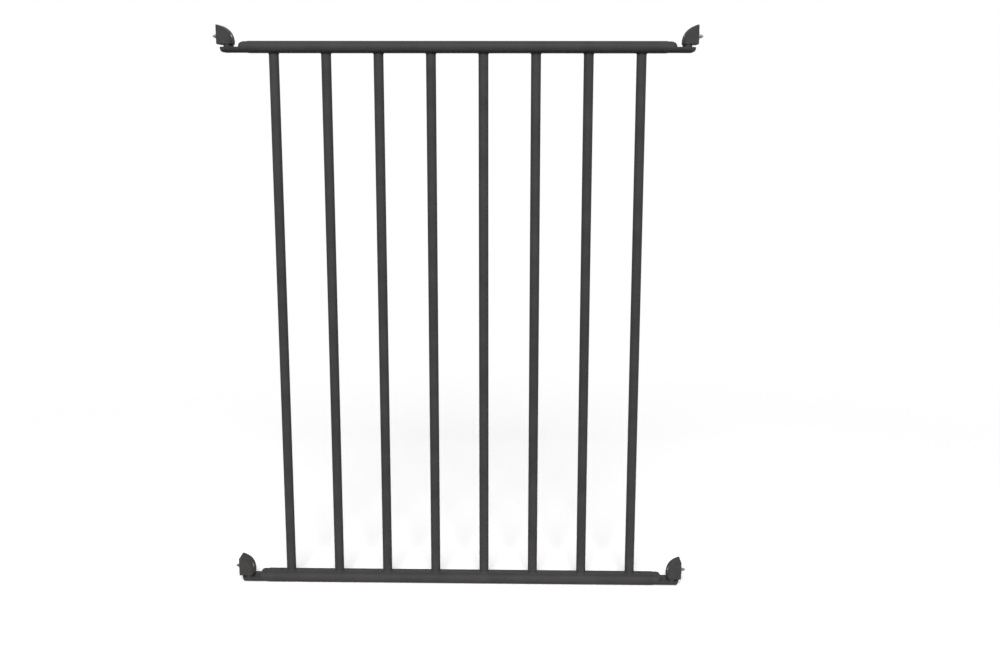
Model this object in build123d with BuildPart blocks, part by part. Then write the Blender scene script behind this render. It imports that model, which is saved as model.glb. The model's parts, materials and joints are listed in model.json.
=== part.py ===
from build123d import *
import os

# Fence panel with swivel end knuckles, in millimetres.
# The origin is on the flat outer face of the bottom left knuckle, on the axis of its stud.
# X runs along the rails to the right, Y to the back and Z up.

# Panel
panel_width = 610.0  # between the flat outer faces of the knuckles
rail_spacing = 715.0  # between the centre lines of the rails
bar_count = 8
end_bar_inset = 70.5  # from a flat face to the axis of the nearest bar

# Rails of flat-oval tube
rail_depth = 25.5
rail_height = 15.0
rail_wall = 1.2

# Bars of round tube, seated in holes punched in the rails
bar_diameter = 12.7
bar_wall = 1.0
bar_seat = 8.0  # how far a bar reaches into a rail
bar_clearance = 0.1

# Moulded rail ends, plugged into the rails
shoulder_inset = 0.5  # the moulding lies this much inside the tube's outline
nose_length = 12.5  # from the tube's end to the tip of the upper half
nose_straight = 4.0  # level part of that length, before it rounds down to the tip
nose_lip = 1.2  # upright part of the tip, above the tongue
nose_corner = 9.0  # rounding of the tip's corners in plan
nose_setback = 13.0  # from that tip to the pivot
tongue_reach = 11.0  # from the pivot out to the end of the lower half
tongue_flat = 1.5  # straight stretch across the end of the lower half
plug_gap = 2.0  # between the plug and the nearest bar
plug_clearance = 0.15
button_diameter = 6.0  # snap button that holds the plug in its rail
button_drop = 0.7  # top of the button below the tube's outside
button_inset = 5.0  # from the plug's inner end
button_clearance = 0.25

# Swivel knuckles
face_reach = 13.0  # from the pivot out to the flat face
knuckle_width = 19.5
knuckle_depth = 25.0
knuckle_height = 24.7
knuckle_rise = 1.6  # straight part of the inner side, below the curve
knuckle_corner = 6.0  # rounding of the inner corners in plan
neck_diameter = 12.0
neck_height = 2.9  # gap between the tongue and the knuckle
swivel_gap = 0.2  # between the neck and the tongue

# Pivot screws, from below through the tongue into the knuckle
pivot_diameter = 5.0
pivot_clearance = 0.08
pivot_cover = 1.4  # wall between the screw's tip and the nut's pocket
pivot_head_diameter = 9.0
pivot_head_height = 2.6
pivot_head_recess = 3.0
pivot_head_clearance = 0.35
pivot_socket = 3.0  # hexagon, across the flats
pivot_socket_depth = 1.6

# Flanged studs across the knuckles, each with a nut on the inner side
stud_rise = 10.4  # stud axis above the underside of the knuckle
stud_diameter = 5.0
stud_clearance = 0.1
stud_proud = 7.0  # tip beyond the flat face
stud_point = 2.6
stud_tip_diameter = 1.2
flange_diameter = 13.0
flange_thickness = 1.9
flange_recess = 0.6
flange_clearance = 0.3
nut_flats = 8.0
nut_thickness = 4.0
nut_seat = 0.5  # from the pivot out to the floor of the nut's pocket
nut_clearance = 0.4
nut_overhang = 1.0  # stud beyond the nut

# Places that follow from the sizes above
middle_x = panel_width / 2
pivot_offset = panel_width / 2 - face_reach
stud_level = neck_height + stud_rise
bottom_level = -stud_level
top_level = bottom_level + rail_spacing
rail_inset = face_reach + nose_setback + nose_length
rail_length = panel_width - 2 * rail_inset
bar_pitch = (panel_width - 2 * end_bar_inset) / (bar_count - 1)
tube_end = face_reach - rail_inset
end_depth = rail_depth - 2 * shoulder_inset
end_height = rail_height - 2 * shoulder_inset
plug_depth = rail_depth - 2 * (rail_wall + plug_clearance)
plug_height = rail_height - 2 * (rail_wall + plug_clearance)
plug_length = end_bar_inset - rail_inset - bar_diameter / 2 - plug_gap
plug_end = tube_end - plug_length
button_offset = pivot_offset + plug_end + button_inset
pivot_thread = stud_rise - nut_flats / 2 - nut_clearance - pivot_cover
levels = {"top": top_level, "bottom": bottom_level}
sides = {"left": -1, "right": 1}


def plan_view(side, level, reach=0.0):
    """Level plane at a pivot, with its X pointing out of the panel."""
    return Plane(
        (middle_x + side * (pivot_offset + reach), 0, level),
        x_dir=(side, 0, 0),
        z_dir=(0, 0, 1),
    )


def side_view(side, level, reach=0.0):
    """Upright plane along the rails, with its X pointing out of the panel and its Y up."""
    return Plane(
        (middle_x + side * (pivot_offset + reach), 0, level),
        x_dir=(side, 0, 0),
        z_dir=(0, -side, 0),
    )


def facing_out(side, level, reach):
    """Upright plane across the rails, looking out of the panel, with its Y up."""
    return Plane(
        (middle_x + side * (pivot_offset + reach), 0, level),
        x_dir=(0, side, 0),
        z_dir=(side, 0, 0),
    )


def save(piece, name):
    piece.part.label = name
    export_step(piece.part, f"parts/{name}.step")


def make_rail(name, level, bar_side):
    across = Plane((middle_x, 0, level), x_dir=(0, 1, 0), z_dir=(1, 0, 0))
    towards_bars = Plane((middle_x, 0, level), x_dir=(1, 0, 0), z_dir=(0, 0, bar_side))
    upward = Plane((middle_x, 0, level), x_dir=(1, 0, 0), z_dir=(0, 0, 1))
    with BuildPart() as rail:
        with BuildSketch(across):
            SlotOverall(rail_depth, rail_height)
            SlotOverall(rail_depth - 2 * rail_wall, rail_height - 2 * rail_wall, mode=Mode.SUBTRACT)
        extrude(amount=rail_length / 2, both=True)
        with BuildSketch(towards_bars):
            with GridLocations(bar_pitch, 0, bar_count, 1):
                Circle(bar_diameter / 2 + bar_clearance)
        extrude(amount=rail_height, mode=Mode.SUBTRACT)
        with BuildSketch(upward):
            with GridLocations(2 * button_offset, 0, 2, 1):
                Circle(button_diameter / 2 + button_clearance)
        extrude(amount=rail_height, mode=Mode.SUBTRACT)
    save(rail, name)


def make_bar(name, index):
    x = middle_x + (index - (bar_count - 1) / 2) * bar_pitch
    foot = bottom_level + rail_height / 2 - bar_seat
    head = top_level - rail_height / 2 + bar_seat
    with BuildPart() as bar:
        with BuildSketch(Plane((x, 0, foot))):
            Circle(bar_diameter / 2)
            Circle(bar_diameter / 2 - bar_wall, mode=Mode.SUBTRACT)
        extrude(amount=head - foot)
    save(bar, name)


def make_rail_end(name, side, level):
    end_radius = end_height / 2
    tongue_corner = (rail_depth - tongue_flat) / 2
    nose_tip = -nose_setback
    nose_start = tube_end + nose_straight
    with BuildPart() as rail_end:
        with BuildSketch(facing_out(side, level, tube_end)):
            SlotOverall(end_depth, end_height)
        extrude(amount=tongue_reach - tube_end)

        # Side view: a nose that rounds down on the upper half, and the lower half on as a tongue
        with BuildSketch(side_view(side, level)):
            with BuildLine():
                Line((tube_end, -end_radius), (tongue_reach - end_radius, -end_radius))
                RadiusArc((tongue_reach - end_radius, -end_radius), (tongue_reach, 0), -end_radius)
                Polyline((tongue_reach, 0), (nose_tip, 0), (nose_tip, nose_lip))
                TangentArc((nose_start, end_radius), (nose_tip, nose_lip), tangent=(1, 0))
                Polyline((nose_start, end_radius), (tube_end, end_radius), (tube_end, -end_radius))
            make_face()
        extrude(amount=end_depth, both=True, mode=Mode.INTERSECT)

        # Plan view: the tongue's corners are rounded, and so are the nose's above it
        with BuildSketch(plan_view(side, level)) as plan:
            with Locations(((tube_end + tongue_reach) / 2, 0)):
                Rectangle(tongue_reach - tube_end, rail_depth)
            fillet(plan.vertices().group_by(Axis.X)[-1], tongue_corner)
        extrude(amount=end_height, both=True, mode=Mode.INTERSECT)
        with BuildSketch(plan_view(side, level)):
            with Locations((tube_end + nose_length / 2, 0)):
                Rectangle(nose_length, rail_depth)
            with Locations((tube_end, 0)):
                RectangleRounded(2 * nose_length, rail_depth, nose_corner, mode=Mode.SUBTRACT)
        extrude(amount=end_height, mode=Mode.SUBTRACT)

        # Plug inside the tube, and its snap button
        with BuildSketch(facing_out(side, level, tube_end)):
            SlotOverall(plug_depth, plug_height)
        extrude(amount=-plug_length)
        with BuildSketch(plan_view(side, level, plug_end + button_inset)):
            Circle(button_diameter / 2)
        extrude(amount=rail_height / 2 - button_drop)

        # Screw hole through the tongue, with the head's recess in its underside
        under = Plane(
            (middle_x + side * pivot_offset, 0, level - end_height / 2),
            x_dir=(side, 0, 0),
            z_dir=(0, 0, -1),
        )
        with Locations(under):
            CounterBoreHole(
                radius=pivot_diameter / 2 + pivot_clearance,
                counter_bore_radius=pivot_head_diameter / 2 + pivot_head_clearance,
                counter_bore_depth=pivot_head_recess,
                depth=end_height / 2,
            )
    save(rail_end, name)


def make_knuckle(name, side, level):
    underside = level + neck_height
    stud_height = level + stud_level
    with BuildPart() as knuckle:
        # Side view: a short straight rise, then one arc to the sharp top edge of the flat face
        with BuildSketch(side_view(side, underside)):
            with BuildLine():
                inner = face_reach - knuckle_width
                Line((inner, 0), (inner, knuckle_rise))
                TangentArc((inner, knuckle_rise), (face_reach, knuckle_height), tangent=(0, 1))
                Polyline((face_reach, knuckle_height), (face_reach, 0), (inner, 0))
            make_face()
        extrude(amount=knuckle_depth / 2, both=True)

        # Plan view: the inner corners are rounded
        with BuildSketch(plan_view(side, underside, face_reach - knuckle_width / 2)) as plan:
            Rectangle(knuckle_width, knuckle_depth)
            fillet(plan.vertices().group_by(Axis.X)[0], knuckle_corner)
        extrude(amount=knuckle_height, mode=Mode.INTERSECT)

        with BuildSketch(plan_view(side, level + swivel_gap)):
            Circle(neck_diameter / 2)
        extrude(amount=neck_height - swivel_gap)
        with BuildSketch(plan_view(side, level)):
            Circle(pivot_diameter / 2)
        extrude(amount=neck_height + pivot_thread, mode=Mode.SUBTRACT)

        # Stud hole, the nut's pocket on the inner side and the flange's recess in the flat face
        with BuildSketch(facing_out(side, stud_height, nut_seat)):
            Circle(stud_diameter / 2 + stud_clearance)
        extrude(amount=face_reach - nut_seat, mode=Mode.SUBTRACT)
        with BuildSketch(facing_out(side, stud_height, nut_seat)):
            RegularPolygon(nut_flats / 2 + nut_clearance, 6, major_radius=False)
        extrude(amount=-knuckle_width, mode=Mode.SUBTRACT)
        with BuildSketch(facing_out(side, stud_height, face_reach)):
            Circle(flange_diameter / 2 + flange_clearance)
        extrude(amount=-flange_recess, mode=Mode.SUBTRACT)
    save(knuckle, name)


def make_pivot_screw(name, side, level):
    seat = level - end_height / 2 + pivot_head_recess
    with BuildPart() as screw:
        with BuildSketch(plan_view(side, seat - pivot_head_height)):
            Circle(pivot_head_diameter / 2)
        extrude(amount=pivot_head_height)
        with BuildSketch(plan_view(side, seat)):
            Circle(pivot_diameter / 2)
        extrude(amount=level + neck_height + pivot_thread - seat)
        with BuildSketch(plan_view(side, seat - pivot_head_height)):
            RegularPolygon(pivot_socket / 2, 6, major_radius=False)
        extrude(amount=pivot_socket_depth, mode=Mode.SUBTRACT)
    save(screw, name)


def make_stud(name, side, level):
    stud_height = level + stud_level
    flange_seat = face_reach - flange_recess
    inner_end = nut_seat - nut_thickness - nut_overhang
    tip = face_reach + stud_proud
    with BuildPart() as stud:
        with BuildSketch(side_view(side, stud_height)):
            with BuildLine():
                Polyline(
                    (inner_end, 0),
                    (inner_end, stud_diameter / 2),
                    (flange_seat, stud_diameter / 2),
                    (flange_seat, flange_diameter / 2),
                    (flange_seat + flange_thickness, flange_diameter / 2),
                    (flange_seat + flange_thickness, stud_diameter / 2),
                    (tip - stud_point, stud_diameter / 2),
                    (tip, stud_tip_diameter / 2),
                    (tip, 0),
                    close=True,
                )
            make_face()
        revolve(axis=Axis((middle_x, 0, stud_height), (1, 0, 0)))
    save(stud, name)


def make_nut(name, side, level):
    with BuildPart() as nut:
        with BuildSketch(facing_out(side, level + stud_level, nut_seat)):
            RegularPolygon(nut_flats / 2, 6, major_radius=False)
            Circle(stud_diameter / 2 + stud_clearance, mode=Mode.SUBTRACT)
        extrude(amount=-nut_thickness)
    save(nut, name)


os.makedirs("parts", exist_ok=True)
make_rail("top_rail", top_level, -1)
make_rail("bottom_rail", bottom_level, 1)
for index in range(bar_count):
    make_bar(f"bar_{index + 1}", index)
for level_name, level in levels.items():
    for side_name, side in sides.items():
        corner = f"{level_name}_{side_name}"
        make_rail_end(f"rail_end_{corner}", side, level)
        make_knuckle(f"swivel_knuckle_{corner}", side, level)
        make_pivot_screw(f"pivot_screw_{corner}", side, level)
        make_stud(f"flange_stud_{corner}", side, level)
        make_nut(f"stud_nut_{corner}", side, level)
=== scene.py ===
import json
import math

import bmesh
import bpy
from mathutils import Matrix, Vector


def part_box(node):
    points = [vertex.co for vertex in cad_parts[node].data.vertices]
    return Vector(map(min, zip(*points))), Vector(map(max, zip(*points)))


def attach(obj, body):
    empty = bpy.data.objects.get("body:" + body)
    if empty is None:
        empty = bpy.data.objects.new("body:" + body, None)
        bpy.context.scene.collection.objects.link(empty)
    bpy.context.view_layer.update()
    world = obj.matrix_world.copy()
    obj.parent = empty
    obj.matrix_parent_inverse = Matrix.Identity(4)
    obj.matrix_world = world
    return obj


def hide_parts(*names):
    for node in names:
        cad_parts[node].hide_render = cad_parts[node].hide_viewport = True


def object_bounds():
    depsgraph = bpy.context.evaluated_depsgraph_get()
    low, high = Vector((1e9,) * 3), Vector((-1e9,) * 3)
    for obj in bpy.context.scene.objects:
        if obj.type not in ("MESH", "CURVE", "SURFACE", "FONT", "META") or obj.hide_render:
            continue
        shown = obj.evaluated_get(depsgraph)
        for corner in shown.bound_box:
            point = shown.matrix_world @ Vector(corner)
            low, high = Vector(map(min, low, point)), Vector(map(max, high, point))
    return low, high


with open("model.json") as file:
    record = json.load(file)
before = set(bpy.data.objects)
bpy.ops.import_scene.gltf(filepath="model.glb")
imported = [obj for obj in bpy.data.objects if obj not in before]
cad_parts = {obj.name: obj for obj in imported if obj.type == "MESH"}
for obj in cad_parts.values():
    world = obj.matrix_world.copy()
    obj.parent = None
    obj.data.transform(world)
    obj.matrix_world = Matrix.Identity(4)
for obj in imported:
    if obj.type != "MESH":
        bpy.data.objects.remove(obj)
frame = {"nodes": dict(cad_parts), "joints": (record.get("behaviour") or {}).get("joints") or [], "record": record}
cadLow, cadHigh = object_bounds()
nodes = frame["nodes"]
mounts = {mount["name"]: mount for mount in frame["record"]["mounts"]}
joints = {joint["name"]: joint for joint in frame["joints"]}
cornerNames = [f"{level}_{side}" for level in ("top", "bottom") for side in ("left", "right")]
barNames = sorted(name for name in nodes if name.startswith("bar_"))
railLevels = {level: joints[f"swivel_{level}_left"]["pos_m"][2] for level in ("top", "bottom")}
railSpacing = railLevels["top"] - railLevels["bottom"]
print("frame loaded:", len(nodes), "nodes,", len(barNames), "bars")


# small helpers for nodes and meshes

def put(tree, kind, sockets=None, **options):
    node = tree.nodes.new(kind)
    for option, value in options.items():
        setattr(node, option, value)
    for socket, value in (sockets or {}).items():
        node.inputs[socket].default_value = value
    return node


def newGroup(name, inputs, outputs):
    group = bpy.data.node_groups.new(name, "ShaderNodeTree")
    for socket, start in inputs.items():
        made = group.interface.new_socket(socket, in_out="INPUT", socket_type="NodeSocketFloat")
        made.default_value = start
    for socket in outputs:
        group.interface.new_socket(socket, in_out="OUTPUT", socket_type="NodeSocketFloat")
    return group, put(group, "NodeGroupInput"), put(group, "NodeGroupOutput")


def newMaterial(name):
    material = bpy.data.materials.new(name)
    material.use_nodes = True
    tree = material.node_tree
    return material, tree, tree.nodes["Principled BSDF"]


def lathe(outline, steps):
    # outline is (along, radius) about the X axis, closed by itself or ending on the axis
    shape = bmesh.new()
    ring = [shape.verts.new((along, 0, radius)) for along, radius in outline]
    chain = list(zip(ring, ring[1:]))
    if outline[0][1] > 0:
        chain.append((ring[-1], ring[0]))
    sides = [shape.edges.new(pair) for pair in chain]
    bmesh.ops.spin(
        shape, geom=ring + sides, cent=(0, 0, 0), axis=(1, 0, 0), angle=2 * math.pi, steps=steps, use_merge=True
    )
    bmesh.ops.remove_doubles(shape, verts=shape.verts, dist=1e-7)
    return shape


def addShape(bm, shape, place):
    bmesh.ops.transform(shape, matrix=place, verts=shape.verts)
    carrier = bpy.data.meshes.new("carrier")
    shape.to_mesh(carrier)
    shape.free()
    bm.from_mesh(carrier)
    bpy.data.meshes.remove(carrier)


def finishPiece(bm, name, body, material, sharpAngle=38):
    bmesh.ops.recalc_face_normals(bm, faces=bm.faces)
    mesh = bpy.data.meshes.new(name)
    bm.to_mesh(mesh)
    bm.free()
    mesh.polygons.foreach_set("use_smooth", [True] * len(mesh.polygons))
    mesh.set_sharp_from_angle(angle=math.radians(sharpAngle))
    mesh.materials.append(material)
    piece = bpy.data.objects.new(name, mesh)
    bpy.context.scene.collection.objects.link(piece)
    even = piece.modifiers.new("evenNormals", "WEIGHTED_NORMAL")  # keeps flats flat beside rounded edges
    even.keep_sharp = True
    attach(piece, body)
    return piece


# shared surface effects

def buildGrain():
    group, inputs, outputs = newGroup(
        "surfaceGrain", {"Peel Size": 0.0012, "Speck Size": 0.0003, "Patch Size": 0.03}, ("Height", "Patches")
    )
    place = put(group, "ShaderNodeTexCoord")
    waves = {}
    for size, detail in (("Peel Size", 1.0), ("Speck Size", 0.0), ("Patch Size", 3.0)):
        scale = put(group, "ShaderNodeMath", {0: 1.0}, operation="DIVIDE")
        noise = put(group, "ShaderNodeTexNoise", {"Detail": detail})
        group.links.new(inputs.outputs[size], scale.inputs[1])
        group.links.new(scale.outputs[0], noise.inputs["Scale"])
        group.links.new(place.outputs["Object"], noise.inputs["Vector"])
        waves[size] = noise.outputs["Fac"]
    height = put(group, "ShaderNodeMath", {1: 0.3}, operation="MULTIPLY_ADD")  # specks on the peel
    group.links.new(waves["Speck Size"], height.inputs[0])
    group.links.new(waves["Peel Size"], height.inputs[2])
    group.links.new(height.outputs[0], outputs.inputs["Height"])
    patches = put(group, "ShaderNodeMapRange", {"From Min": 0.32, "From Max": 0.68})
    group.links.new(waves["Patch Size"], patches.inputs["Value"])
    group.links.new(patches.outputs["Result"], outputs.inputs["Patches"])
    return group


def buildPartingLine():
    # a fine ridge where two halves of a mould met, across the given coordinate
    group, inputs, outputs = newGroup("partingLine", {"Across": 0.0, "Width": 0.0003}, ("Ridge",))
    away = put(group, "ShaderNodeMath", operation="ABSOLUTE")
    ridge = put(group, "ShaderNodeMapRange", {"To Min": 1.0, "To Max": 0.0}, interpolation_type="SMOOTHSTEP")
    group.links.new(inputs.outputs["Across"], away.inputs[0])
    group.links.new(away.outputs[0], ridge.inputs["Value"])
    group.links.new(inputs.outputs["Width"], ridge.inputs["From Max"])
    group.links.new(ridge.outputs["Result"], outputs.inputs["Ridge"])
    return group


grainGroup = buildGrain()
partingGroup = buildPartingLine()


def addGrain(tree, shader, finish):
    grain = put(tree, "ShaderNodeGroup", node_tree=grainGroup)
    for socket, key in (("Peel Size", "peel"), ("Speck Size", "speck"), ("Patch Size", "patch")):
        grain.inputs[socket].default_value = finish[key]
    colour = put(tree, "ShaderNodeMix", data_type="RGBA")
    colour.inputs["A"].default_value = (*finish["dark"], 1)
    colour.inputs["B"].default_value = (*finish["light"], 1)
    tree.links.new(grain.outputs["Patches"], colour.inputs["Factor"])
    tree.links.new(colour.outputs["Result"], shader.inputs["Base Color"])
    rough = put(tree, "ShaderNodeMapRange", {"To Min": finish["smooth"], "To Max": finish["rough"]})
    tree.links.new(grain.outputs["Patches"], rough.inputs["Value"])
    tree.links.new(rough.outputs["Result"], shader.inputs["Roughness"])
    bump = put(tree, "ShaderNodeBump", {"Distance": finish["relief"]})
    tree.links.new(grain.outputs["Height"], bump.inputs["Height"])
    tree.links.new(bump.outputs["Normal"], shader.inputs["Normal"])
    shader.inputs["Specular IOR Level"].default_value = finish["specular"]
    return grain, bump


# finishes

coat = {
    "dark": (0.045, 0.045, 0.046), "light": (0.056, 0.056, 0.057),
    "smooth": 0.46, "rough": 0.56, "specular": 0.04,
    "peel": 0.0014, "speck": 0.0004, "patch": 0.03, "relief": 0.00005,
}


def powderCoat():
    material, tree, shader = newMaterial("powderCoat")
    addGrain(tree, shader, coat)
    return material


moulding = {
    "dark": (0.046, 0.046, 0.047), "light": (0.056, 0.056, 0.057),
    "smooth": 0.50, "rough": 0.60, "specular": 0.04,
    "peel": 0.0008, "speck": 0.0003, "patch": 0.012, "relief": 0.00004,
    "ridge": 0.9, "ridgeWidth": 0.00022,
}


def mouldedFinish(name, axis, centre, span):
    # centre and span let one line serve both rails: the coordinate wraps round from one to the other
    material, tree, shader = newMaterial(name)
    grain, bump = addGrain(tree, shader, moulding)
    place = put(tree, "ShaderNodeTexCoord")
    split = put(tree, "ShaderNodeSeparateXYZ")
    offset = put(tree, "ShaderNodeMath", {1: centre}, operation="SUBTRACT")
    wrap = put(tree, "ShaderNodeMath", {1: span / 2, 2: -span / 2}, operation="WRAP")
    line = put(tree, "ShaderNodeGroup", node_tree=partingGroup)
    line.inputs["Width"].default_value = moulding["ridgeWidth"]
    height = put(tree, "ShaderNodeMath", {1: moulding["ridge"]}, operation="MULTIPLY_ADD")
    tree.links.new(place.outputs["Object"], split.inputs[0])
    tree.links.new(split.outputs[axis], offset.inputs[0])
    tree.links.new(offset.outputs[0], wrap.inputs[0])
    tree.links.new(wrap.outputs[0], line.inputs["Across"])
    tree.links.new(line.outputs["Ridge"], height.inputs[0])
    tree.links.new(grain.outputs["Height"], height.inputs[2])
    tree.links.new(height.outputs[0], bump.inputs["Height"])
    return material


zinc = {
    "dark": (0.19, 0.19, 0.195), "light": (0.31, 0.295, 0.265),
    "smooth": 0.28, "rough": 0.42, "specular": 0.5,
    "peel": 0.0009, "speck": 0.0002, "patch": 0.004, "relief": 0.00001,
}


def metalFinish(name, finish):
    material, tree, shader = newMaterial(name)
    addGrain(tree, shader, finish)
    shader.inputs["Metallic"].default_value = 1.0
    return material


# a darker copy of the zinc plate for the nuts: painted shade, which dims their glint where they sit in the
# knuckle's pocket
nutZincShaded = {
    "dark": (0.06, 0.06, 0.062), "light": (0.095, 0.093, 0.088),
    "smooth": 0.36, "rough": 0.50, "specular": 0.5,
    "peel": 0.0009, "speck": 0.0002, "patch": 0.003, "relief": 0.00001,
}


oxide = {
    "dark": (0.055, 0.055, 0.058), "light": (0.085, 0.085, 0.088),
    "smooth": 0.34, "rough": 0.48, "specular": 0.5,
    "peel": 0.0006, "speck": 0.0002, "patch": 0.003, "relief": 0.00001,
}


coatMaterial = powderCoat()
endMaterial = mouldedFinish("endMoulding", "Z", railLevels["bottom"], railSpacing)
knuckleMaterial = mouldedFinish("knuckleMoulding", "Y", 0.0, 1.0)
zincMaterial = metalFinish("zincPlate", zinc)
# the nuts get the darker zinc copy, painted shade standing in for their dimmer look in the pocket
nutMaterial = metalFinish("zincPlateShadedForNut", nutZincShaded)
oxideMaterial = metalFinish("blackOxide", oxide)
for name in ("top_rail", "bottom_rail", *barNames):
    nodes[name].data.materials[0] = coatMaterial
print("finishes made:", len(bpy.data.materials))


# weld beads where the bars meet the rails

weld = {
    "leg": 0.0014, "sunk": 0.0004, "shoulder": 0.6, "hollow": 0.28,
    "ripple": 0.00010, "ripples": 19, "shift": 7, "steps": 76,
}


def railDrop(y, flatHalf, roundRadius):
    # how far the flat-oval tube falls away from its flat, this far off the middle
    over = min(max(abs(y) - flatHalf, 0), roundRadius)
    return roundRadius - math.sqrt(roundRadius**2 - over**2)


def buildWelds(level, up):
    railLow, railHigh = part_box(f"{level}_rail")
    roundRadius = (railHigh.z - railLow.z) / 2
    flatHalf = (railHigh.y - railLow.y) / 2 - roundRadius
    seat = railHigh.z if up > 0 else railLow.z
    bm = bmesh.new()
    for number, name in enumerate(barNames):
        barLow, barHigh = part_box(name)
        radius = (barHigh.x - barLow.x) / 2
        centre = Vector(((barLow.x + barHigh.x) / 2, 0, seat))
        leg, sunk = weld["leg"], weld["sunk"]
        shoulder, hollow = leg * weld["shoulder"], leg * weld["hollow"]
        outline = [
            (-sunk, radius - sunk), (leg, radius - sunk), (leg, radius), (shoulder, radius + hollow),
            (hollow, radius + shoulder), (0, radius + leg), (-sunk, radius + leg),
        ]
        bead = lathe(outline, weld["steps"])
        bmesh.ops.rotate(bead, matrix=Matrix.Rotation(math.radians(-90 * up), 3, "Y"), verts=bead.verts)
        for vert in bead.verts:
            away = Vector((vert.co.x, vert.co.y))
            if away.length > radius:
                turn = math.atan2(away.y, away.x) * weld["ripples"] + number * weld["ripples"] / weld["shift"]
                away.length += weld["ripple"] * math.sin(turn)
                vert.co.xy = away
            vert.co.z -= up * railDrop(vert.co.y, flatHalf, roundRadius)
        addShape(bm, bead, Matrix.Translation(centre))
    finishPiece(bm, f"{level}_weld_beads", "panel", coatMaterial, 60)


buildWelds("top", -1)
buildWelds("bottom", 1)
print("weld beads made")


# softened copies of the mouldings and screws

softening = {
    "merge": 2e-6, "flat": 0.6, "sharp": 28, "segments": 3,
    "knuckle": 0.0012, "end": 0.0011, "lip": 0.00028, "screw": 0.0003, "fine": 0.0002, "recess": 0.00012,
    "fold": 100, "relax": 12, "short": 0.0015,
    "studMargin": 0.0006, "screwReach": 0.0052, "railMargin": 0.0001, "level": 0.00005, "runOut": 0.0115,
}


def offAxis(point, axisPoint, axisName):
    away = point - axisPoint
    away["XYZ".index(axisName)] = 0
    return away.length


def softCopy(node, name, body, material, widthAt, splits=(), reshape=None, extra=None):
    # widthAt gives the rounding of a sharp edge from its middle, 0 where it stays sharp
    bm = bmesh.new()
    bm.from_mesh(nodes[node].data)
    bmesh.ops.remove_doubles(bm, verts=bm.verts, dist=softening["merge"])
    bmesh.ops.dissolve_limit(bm, angle_limit=math.radians(softening["flat"]), verts=bm.verts, edges=bm.edges)
    for at in splits:
        bmesh.ops.bisect_plane(bm, geom=[*bm.verts, *bm.edges, *bm.faces], plane_co=at, plane_no=(1, 0, 0))
    if reshape:
        reshape(bm)
    groups = {}
    for edge in bm.edges:
        if edge.calc_face_angle(0) > math.radians(softening["sharp"]):
            groups.setdefault(widthAt((edge.verts[0].co + edge.verts[1].co) / 2), []).append(edge)
    for width in sorted(groups, reverse=True):
        if width > 0:
            bmesh.ops.bevel(
                bm, geom=[edge for edge in groups[width] if edge.is_valid], offset=width, offset_type="OFFSET",
                segments=softening["segments"], profile=0.5, affect="EDGES", clamp_overlap=False, material=-1,
            )
    for turn in range(softening["relax"]):  # evens out the few faces that a bevel folded over
        folds = [edge for edge in bm.edges if edge.calc_face_angle(0) > math.radians(softening["fold"])]
        folded = list({vert for edge in folds if edge.calc_length() < softening["short"] for vert in edge.verts})
        bmesh.ops.smooth_vert(bm, verts=folded, factor=0.5, use_axis_x=True, use_axis_y=True, use_axis_z=True)
    if extra:
        addShape(bm, extra, Matrix.Identity(4))
    piece = finishPiece(bm, name, body, material)
    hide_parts(node)


foot = {
    "width": 0.0122, "depth": 0.0236, "gap": 0.0002, "high": 0.0038, "segments": 72,
    "neckReach": 0.0063, "neckHigh": 0.0035, "bore": 0.0040, "slim": 0.0048,
}


def knuckleFoot(pivot):
    # oval foot round the neck, as deep as the knuckle
    shape = bmesh.new()
    middle = pivot + Vector((0, 0, (foot["high"] + foot["gap"]) / 2))
    size = Matrix.Diagonal((foot["width"], foot["depth"], foot["high"] - foot["gap"], 1))
    bmesh.ops.create_cone(
        shape, cap_ends=True, segments=foot["segments"], radius1=0.5, radius2=0.5, depth=1,
        matrix=Matrix.Translation(middle) @ size,
    )
    return shape


def buildKnuckle(corner):
    stud = Vector(mounts[f"{corner}_face"]["pos_m"])
    pivot = Vector(joints[f"swivel_{corner}"]["pos_m"])
    low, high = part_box(f"flange_stud_{corner}")
    nearStud = (high.z - low.z) / 2 + softening["studMargin"]

    def onNeck(point):
        return offAxis(point, pivot, "Z") < foot["neckReach"] and point.z < pivot.z + foot["neckHigh"]

    def slimNeck(bm):
        # draws the neck in, inside the foot, so that the knuckle's rounded edges keep clear of it
        for vert in bm.verts:
            reach = offAxis(vert.co, pivot, "Z")
            if onNeck(vert.co) and reach > foot["bore"]:
                vert.co.xy = pivot.xy + (vert.co.xy - pivot.xy) * foot["slim"] / reach

    def widthAt(point):
        isFine = onNeck(point) or offAxis(point, stud, "X") < nearStud
        return softening["fine" if isFine else "knuckle"]

    softCopy(
        f"swivel_knuckle_{corner}", f"knuckle_shell_{corner}", f"knuckle_{corner}",
        knuckleMaterial, widthAt, reshape=slimNeck, extra=knuckleFoot(pivot),
    )


def buildRailEnd(corner):
    # the tongue's top edge is let run out to sharp before it reaches the nose
    pivot = Vector(joints[f"swivel_{corner}"]["pos_m"])
    railLow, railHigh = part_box(f"{corner.split('_')[0]}_rail")
    inward = 1 if corner.endswith("left") else -1
    margin, runOut = softening["railMargin"], softening["runOut"]

    def widthAt(point):
        if offAxis(point, pivot, "Z") < softening["screwReach"]:
            return softening["recess"]
        if railLow.x - margin < point.x < railHigh.x + margin:
            return softening["fine"]
        if abs(point.z - pivot.z) > softening["level"]:
            return softening["end"]
        return softening["lip"] if (point.x - pivot.x) * inward < runOut else 0

    softCopy(
        f"rail_end_{corner}", f"end_moulding_{corner}", "panel", endMaterial, widthAt,
        [pivot + Vector((inward * runOut, 0, 0))],
    )


def buildPivotScrew(corner):
    softCopy(
        f"pivot_screw_{corner}", f"socket_screw_{corner}", f"knuckle_{corner}",
        oxideMaterial, lambda point: softening["screw"],
    )


for corner in cornerNames:
    buildKnuckle(corner)
    buildRailEnd(corner)
    buildPivotScrew(corner)
print("mouldings and screws softened")


# threaded studs and nuts

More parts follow.
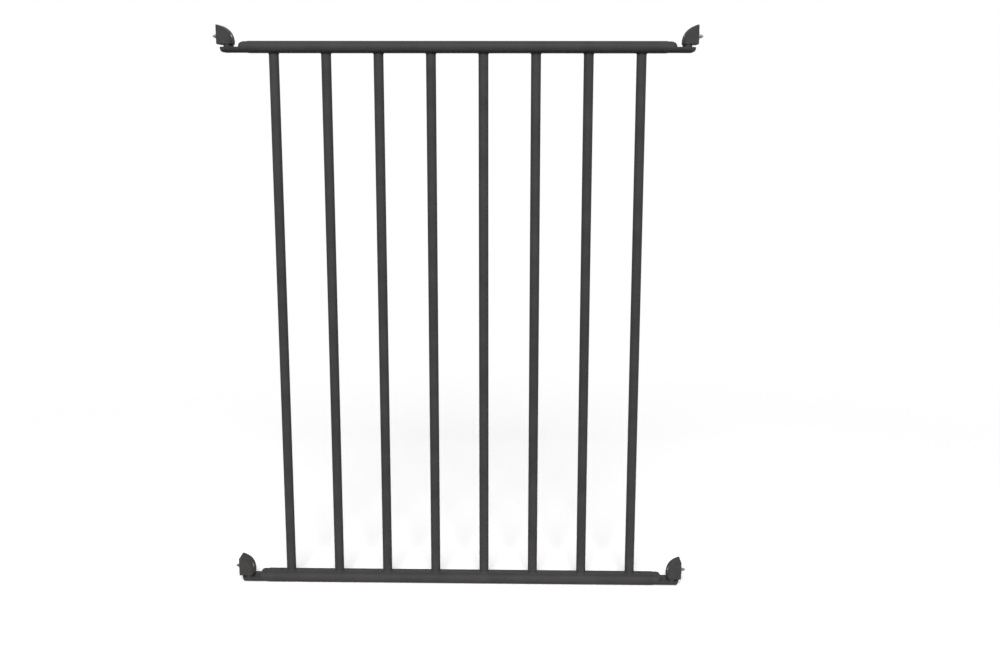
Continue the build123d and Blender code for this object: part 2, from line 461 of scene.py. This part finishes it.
def trim(shape, at, facing):
    bmesh.ops.bisect_plane(
        shape, geom=[*shape.verts, *shape.edges, *shape.faces], plane_co=at, plane_no=facing, clear_outer=True
    )


def closeCuts(shape):
    bmesh.ops.dissolve_degenerate(shape, edges=shape.edges, dist=1e-6)
    bmesh.ops.holes_fill(shape, edges=[edge for edge in shape.edges if edge.is_boundary], sides=0)


studForm = {
    "flange": 0.0019, "recess": 0.0006, "rim": 0.00035, "rimEase": 0.3,
    "point": 0.0026, "pointLead": 0.2, "tip": 0.0006, "tipEase": 0.6, "tipHigh": 0.0002,
    "pitch": 0.0008, "depth": 0.00043, "valley": 0.25, "rise": 0.56, "fall": 0.69, "threadLead": 0.0006,
    "turnSteps": 28, "latheSteps": 72,
}


def thread(start, end, crest):
    # one V profile a pitch long, turned into a helix and trimmed at both ends
    pitch, root = studForm["pitch"], crest - studForm["depth"]
    steps = studForm["turnSteps"]
    turns = math.ceil((end - start) / pitch) + 1
    shape = bmesh.new()
    profile = [
        (0, root), (studForm["valley"], root), (studForm["rise"], crest), (studForm["fall"], crest), (1, root),
    ]
    chain = [shape.verts.new((start + (share - 1) * pitch, 0, radius)) for share, radius in profile]
    sides = [shape.edges.new(pair) for pair in zip(chain, chain[1:])]
    bmesh.ops.spin(
        shape, geom=chain + sides, cent=(0, 0, 0), axis=(1, 0, 0), dvec=(pitch / steps, 0, 0),
        angle=2 * math.pi * turns, steps=steps * turns,
    )
    bmesh.ops.remove_doubles(shape, verts=shape.verts, dist=1e-6)
    trim(shape, Vector((start, 0, 0)), Vector((-1, 0, 0)))
    trim(shape, Vector((end, 0, 0)), Vector((1, 0, 0)))
    closeCuts(shape)
    return shape


def outwardPlace(corner):
    # local X runs out of the panel along the stud, from the flat face
    turn = 0 if corner.endswith("right") else math.pi
    return Matrix.Translation(mounts[f"{corner}_face"]["pos_m"]) @ Matrix.Rotation(turn, 4, "Z")


def endsAlong(place, low, high):
    return sorted((place.inverted() @ Vector((x, 0, 0))).x for x in (low.x, high.x))


def buildStud(corner):
    low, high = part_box(f"flange_stud_{corner}")
    place = outwardPlace(corner)
    ends = endsAlong(place, low, high)
    shankEnd = max(endsAlong(place, *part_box(f"stud_nut_{corner}"))) + studForm["threadLead"]
    crest = mounts[f"{corner}_stud"]["dims"]["r_mm"] / 1000
    root = crest - studForm["depth"]
    rimRadius, rim = (high.z - low.z) / 2, studForm["rim"]
    ease = rim * studForm["rimEase"]
    seat = -studForm["recess"]
    top = seat + studForm["flange"]
    pointStart = ends[1] - studForm["point"]
    bm = bmesh.new()
    flange = [
        (seat, 0), (seat, rimRadius - rim), (seat + ease, rimRadius - ease), (seat + rim, rimRadius),
        (top - rim, rimRadius), (top - ease, rimRadius - ease), (top, rimRadius - rim), (top, 0),
    ]
    shank = [(shankEnd, 0), (shankEnd, crest), (seat, crest), (seat, 0)]
    point = [
        (top, 0), (top, root), (pointStart, root), (pointStart + studForm["depth"] * studForm["pointLead"], root),
        (ends[1] - studForm["tipHigh"], studForm["tip"]),
        (ends[1], studForm["tip"] * studForm["tipEase"]), (ends[1], 0),
    ]
    for outline in (flange, shank, point):
        addShape(bm, lathe(outline, studForm["latheSteps"]), place)
    addShape(bm, thread(ends[0], shankEnd, crest), place)
    addShape(bm, thread(top, pointStart, crest), place)
    piece = finishPiece(bm, f"threaded_stud_{corner}", f"knuckle_{corner}", zincMaterial)
    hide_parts(f"flange_stud_{corner}")


nutForm = {"chamfer": 0.00045, "sink": 0.0004, "face": 0.96, "steps": 60}


def buildNut(corner):
    low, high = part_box(f"stud_nut_{corner}")
    place = outwardPlace(corner)
    ends = endsAlong(place, low, high)
    bore = mounts[f"{corner}_stud"]["dims"]["r_mm"] / 1000
    corners, flats = (high.y - low.y) / 2, (high.z - low.z) / 2
    chamfer, sink = nutForm["chamfer"], nutForm["sink"]
    faceRadius = flats * nutForm["face"]
    outline = [
        (ends[0] + sink, bore), (ends[0], bore + sink), (ends[0], faceRadius), (ends[0] + chamfer, corners),
        (ends[1] - chamfer, corners), (ends[1], faceRadius), (ends[1], bore + sink), (ends[1] - sink, bore),
    ]
    nut = lathe(outline, nutForm["steps"])
    for number in range(6):
        facing = Matrix.Rotation(number * math.pi / 3, 3, "X") @ Vector((0, 0, 1))
        trim(nut, facing * flats, facing)
        closeCuts(nut)
    bm = bmesh.new()
    addShape(bm, nut, place)
    piece = finishPiece(bm, f"hex_nut_{corner}", f"knuckle_{corner}", nutMaterial, 25)
    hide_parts(f"stud_nut_{corner}")


for corner in cornerNames:
    buildStud(corner)
    buildNut(corner)
print("studs and nuts made")


# floor, light and camera

floorForm = {
    "radius": 4.0, "solid": 0.45, "gone": 1.6, "pale": (0.93, 0.93, 0.93, 1), "lift": 0.34,
    "rough": 0.9, "specular": 0.1, "segments": 96,
    "nearBounce": (0.90, 0.73, 0.60, 1), "farBounce": (0.02, 0.02, 0.02, 1),
    "bounceStart": 0.08, "bounceEnd": 0.26,
}


def seenRays(tree):
    # 1 for rays that show the stage: straight to the camera, in a reflection or through glass
    rays = put(tree, "ShaderNodeLightPath")
    direct = put(tree, "ShaderNodeMath", operation="ADD")
    every = put(tree, "ShaderNodeMath", operation="ADD", use_clamp=True)
    tree.links.new(rays.outputs["Is Camera Ray"], direct.inputs[0])
    tree.links.new(rays.outputs["Is Glossy Ray"], direct.inputs[1])
    tree.links.new(direct.outputs[0], every.inputs[0])
    tree.links.new(rays.outputs["Is Transmission Ray"], every.inputs[1])
    return every.outputs[0]


def buildFloor():
    bm = bmesh.new()
    middle = Vector(((cadLow.x + cadHigh.x) / 2, 0, cadLow.z))
    bmesh.ops.create_circle(
        bm, cap_ends=True, segments=floorForm["segments"], radius=floorForm["radius"],
        matrix=Matrix.Translation(middle),
    )
    mesh = bpy.data.meshes.new("floor")
    bm.to_mesh(mesh)
    bm.free()
    floor = bpy.data.objects.new("floor", mesh)
    bpy.context.scene.collection.objects.link(floor)
    material, tree, shader = newMaterial("paleFloor")
    shader.inputs["Roughness"].default_value = floorForm["rough"]
    shader.inputs["Specular IOR Level"].default_value = floorForm["specular"]
    seen = seenRays(tree)
    place = put(tree, "ShaderNodeTexCoord")
    split = put(tree, "ShaderNodeSeparateXYZ")
    aside = put(tree, "ShaderNodeMath", operation="ABSOLUTE")
    along = put(
        tree, "ShaderNodeMapRange", {"From Min": floorForm["bounceStart"], "From Max": floorForm["bounceEnd"]},
        interpolation_type="SMOOTHSTEP",
    )
    bounce = put(tree, "ShaderNodeMix", data_type="RGBA")  # throws light back only close under the panel
    bounce.inputs["A"].default_value = floorForm["nearBounce"]
    bounce.inputs["B"].default_value = floorForm["farBounce"]
    tree.links.new(place.outputs["Object"], split.inputs[0])
    tree.links.new(split.outputs["Y"], aside.inputs[0])
    tree.links.new(aside.outputs[0], along.inputs["Value"])
    tree.links.new(along.outputs["Result"], bounce.inputs["Factor"])
    colour = put(tree, "ShaderNodeMix", data_type="RGBA")  # pale where it is seen
    tree.links.new(bounce.outputs["Result"], colour.inputs["A"])
    colour.inputs["B"].default_value = floorForm["pale"]
    lift = put(tree, "ShaderNodeMath", {1: floorForm["lift"]}, operation="MULTIPLY")
    shader.inputs["Emission Color"].default_value = (1, 1, 1, 1)
    tree.links.new(seen, colour.inputs["Factor"])
    tree.links.new(colour.outputs["Result"], shader.inputs["Base Color"])
    tree.links.new(seen, lift.inputs[0])
    tree.links.new(lift.outputs[0], shader.inputs["Emission Strength"])
    reach = put(tree, "ShaderNodeVectorMath", operation="DISTANCE")
    reach.inputs[1].default_value = middle
    fade = put(
        tree, "ShaderNodeMapRange", {"From Min": floorForm["solid"], "From Max": floorForm["gone"]},
        interpolation_type="SMOOTHSTEP",
    )
    distance = put(tree, "ShaderNodeEmission")  # plain white far off, as the surround is
    blend = put(tree, "ShaderNodeMixShader")
    tree.links.new(place.outputs["Object"], reach.inputs[0])
    tree.links.new(reach.outputs["Value"], fade.inputs["Value"])
    tree.links.new(fade.outputs["Result"], blend.inputs["Fac"])
    tree.links.new(seen, distance.inputs["Strength"])
    tree.links.new(shader.outputs[0], blend.inputs[1])
    tree.links.new(distance.outputs[0], blend.inputs[2])
    tree.links.new(blend.outputs[0], tree.nodes["Material Output"].inputs["Surface"])
    mesh.materials.append(material)


surround = {"above": 0.10, "below": 0.01, "fade": 0.6}


def buildWorld():
    world = bpy.data.worlds.new("studio")
    bpy.context.scene.world = world
    world.use_nodes = True
    tree = world.node_tree
    shown = tree.nodes["Background"]
    shown.inputs["Color"].default_value = (1, 1, 1, 1)
    ambient = put(tree, "ShaderNodeBackground", {"Color": (1, 1, 1, 1)})
    place = put(tree, "ShaderNodeTexCoord")
    split = put(tree, "ShaderNodeSeparateXYZ")
    level = put(
        tree, "ShaderNodeMapRange",
        {
            "From Min": -surround["fade"], "From Max": surround["fade"],
            "To Min": surround["below"], "To Max": surround["above"],
        },
    )
    tree.links.new(place.outputs["Generated"], split.inputs[0])
    tree.links.new(split.outputs["Z"], level.inputs["Value"])
    tree.links.new(level.outputs["Result"], ambient.inputs["Strength"])
    blend = put(tree, "ShaderNodeMixShader")
    tree.links.new(seenRays(tree), blend.inputs["Fac"])
    tree.links.new(ambient.outputs[0], blend.inputs[1])
    tree.links.new(shown.outputs[0], blend.inputs[2])
    tree.links.new(blend.outputs[0], tree.nodes["World Output"].inputs["Surface"])


softboxes = {
    "front": {"place": (0.35, -3.5, 2.9), "aim": (0.3, 0.0, 0.35), "size": 2.0, "power": 228, "glint": True},
    "back": {"place": (0.1, 3.4, 0.30), "aim": (0.3, 0.0, 0.35), "size": 1.6, "power": 75, "glint": False},
    "left": {"place": (-3.0, -0.8, 0.35), "aim": (0.0, 0.0, 0.35), "size": 1.6, "power": 22, "glint": False},
    "right": {"place": (3.6, -0.8, 0.35), "aim": (0.6, 0.0, 0.35), "size": 1.6, "power": 22, "glint": False},
}


def buildSoftbox(name):
    form = softboxes[name]
    lamp = bpy.data.lights.new(f"{name}Softbox", "AREA")
    lamp.shape = "SQUARE"
    lamp.size = form["size"]
    lamp.energy = form["power"]
    holder = bpy.data.objects.new(f"{name}Softbox", lamp)
    bpy.context.scene.collection.objects.link(holder)
    way = Vector(form["aim"]) - Vector(form["place"])
    holder.matrix_world = Matrix.Translation(form["place"]) @ way.to_track_quat("-Z", "Y").to_matrix().to_4x4()
    holder.visible_camera = False
    holder.visible_glossy = form["glint"]  # the others only fill, with no glare towards the camera


view = {
    "place": (0.3904, -1.51105, 0.62538), "yaw": -1.1463, "pitch": 11.0268, "roll": 0.0923,
    "focalPixels": 1155.41, "imageWidth": 1000, "sensor": 36.0, "near": 0.05, "far": 50,
}


def buildCamera():
    camera = bpy.data.cameras.new("camera")
    camera.sensor_width = view["sensor"]
    camera.sensor_fit = "HORIZONTAL"
    camera.lens = view["focalPixels"] * view["sensor"] / view["imageWidth"]
    camera.clip_start, camera.clip_end = view["near"], view["far"]
    holder = bpy.data.objects.new("camera", camera)
    bpy.context.scene.collection.objects.link(holder)
    turn = Matrix.Rotation(math.radians(-view["yaw"]), 4, "Z")
    tilt = Matrix.Rotation(math.radians(90 - view["pitch"]), 4, "X")
    roll = Matrix.Rotation(math.radians(view["roll"]), 4, "Z")
    holder.matrix_world = Matrix.Translation(view["place"]) @ turn @ tilt @ roll
    bpy.context.scene.camera = holder


buildFloor()
buildWorld()
for name in softboxes:
    buildSoftbox(name)
buildCamera()
bpy.context.scene.view_settings.view_transform = "Standard"
print("stage, light and camera set")
